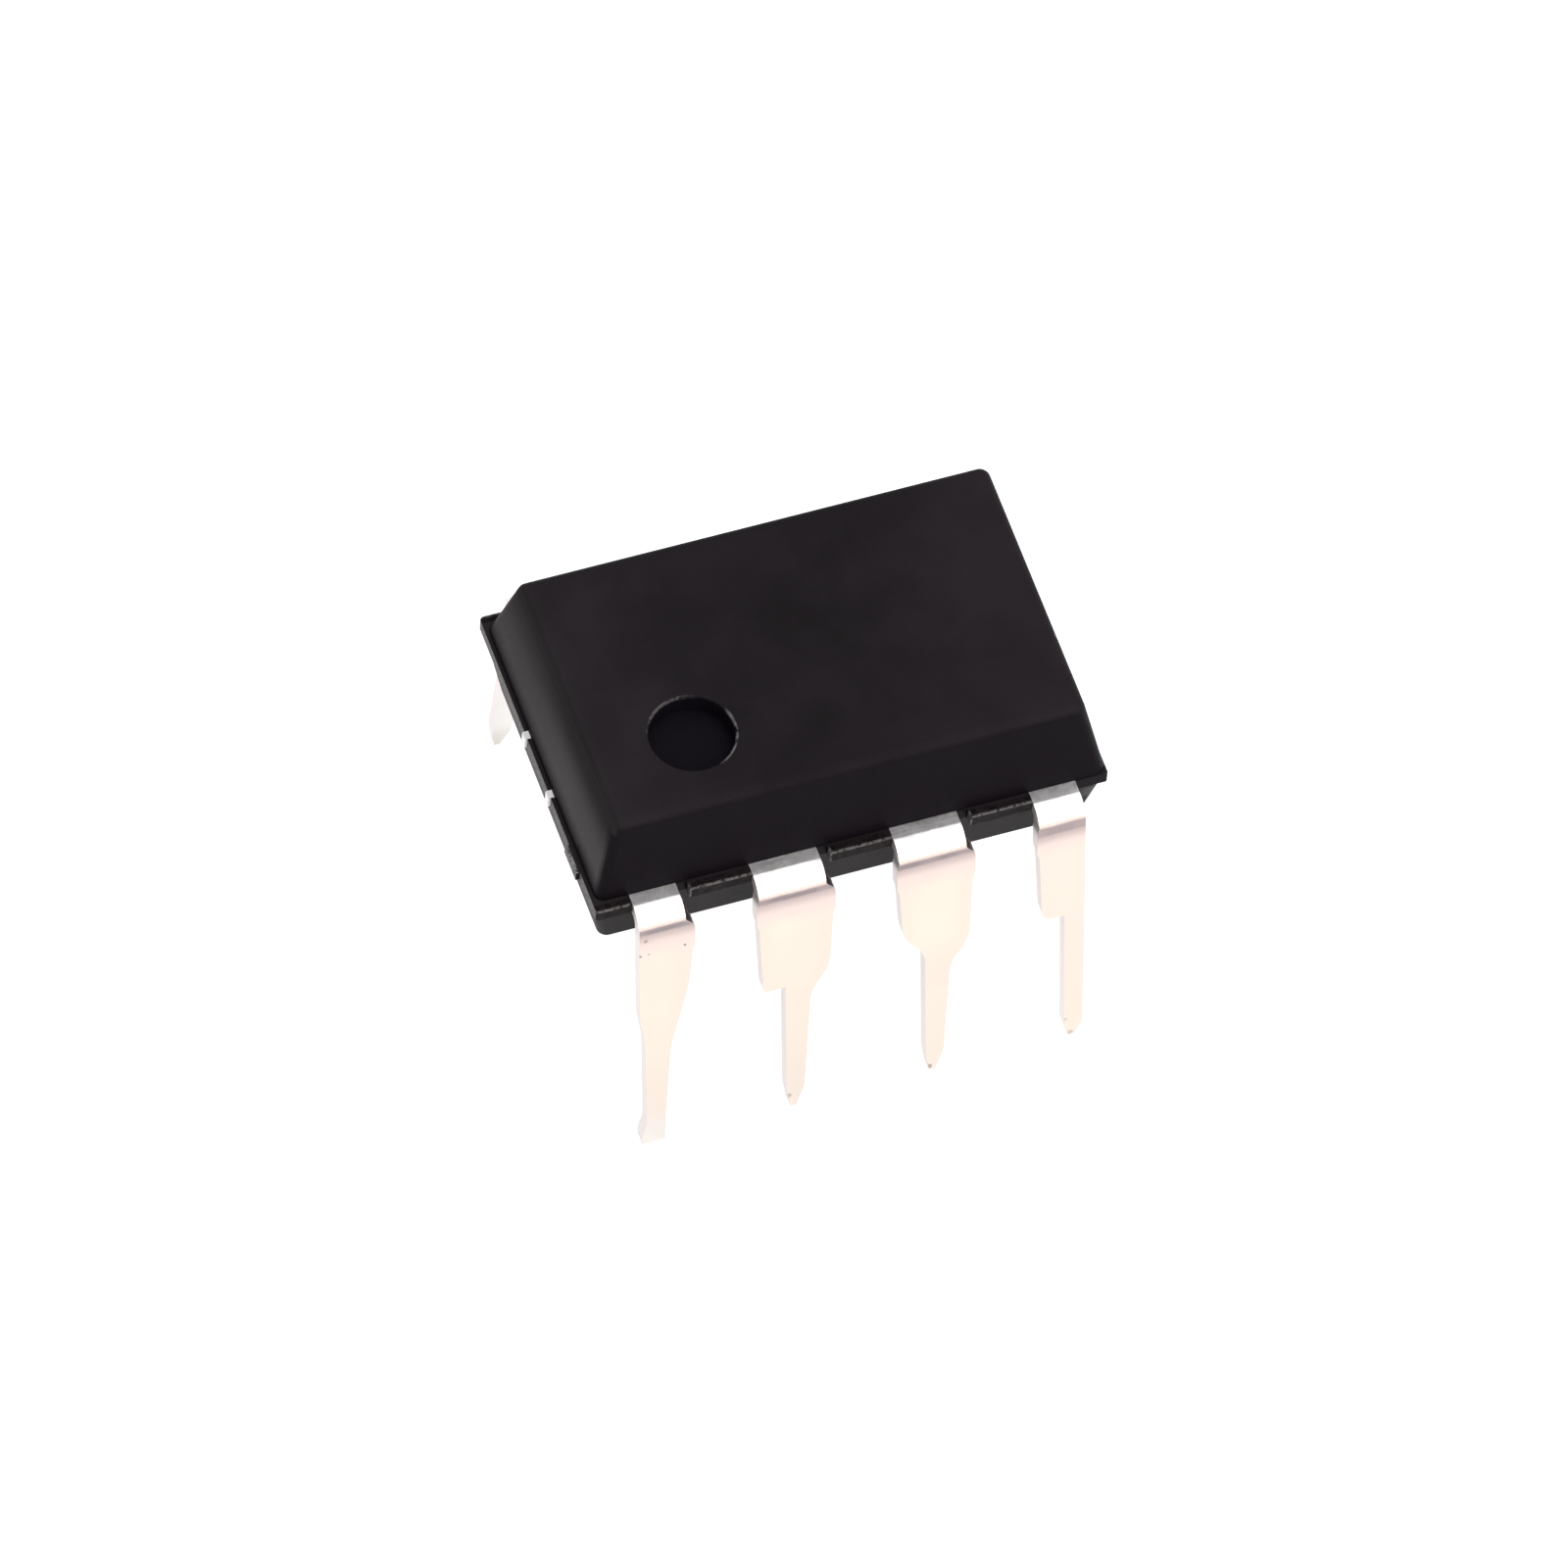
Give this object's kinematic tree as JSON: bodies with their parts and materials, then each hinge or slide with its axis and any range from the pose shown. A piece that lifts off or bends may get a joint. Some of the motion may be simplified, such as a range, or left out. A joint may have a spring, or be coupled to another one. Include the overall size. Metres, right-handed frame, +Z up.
{
  "type": "dual in-line integrated circuit",
  "caption": "Dual in-line integrated circuit: a black moulded package with a round dimple beside its first lead, on two rows of bent, tin-plated leads.",
  "frame": {"origin": "on the surface that the lead tips stand on, below the middle of the part's outline", "axes": "+X along the package with lead 1 at -X and -Y, +Y across it to the rear row, +Z up"},
  "size_m": [0.0095, 0.0088, 0.0074],
  "materials": {
    "epoxy": "fine spark-eroded mould texture, slightly glossy black epoxy",
    "tinned_lead": "bright matte tin plating, bare on the cut edges",
    "frame_copper": "rolled copper alloy",
    "die_glue": "silver-filled epoxy glue",
    "silicon": "polished, with a faint metal pattern",
    "gold_wire": "drawn gold wire"
  },
  "bodies": {
    "root": {"package_body": "epoxy", "lead_1": "tinned_lead", "lead_2": "tinned_lead", "lead_3": "tinned_lead", "lead_4": "tinned_lead", "lead_5": "tinned_lead", "lead_6": "tinned_lead", "lead_7": "tinned_lead", "lead_8": "tinned_lead", "die_paddle": "frame_copper", "die_attach": "die_glue", "silicon_die": "silicon", "bond_wire_1": "gold_wire", "bond_wire_2": "gold_wire", "bond_wire_3": "gold_wire", "bond_wire_4": "gold_wire", "bond_wire_5": "gold_wire", "bond_wire_6": "gold_wire", "bond_wire_7": "gold_wire", "bond_wire_8": "gold_wire"}
  },
  "joints": []
}
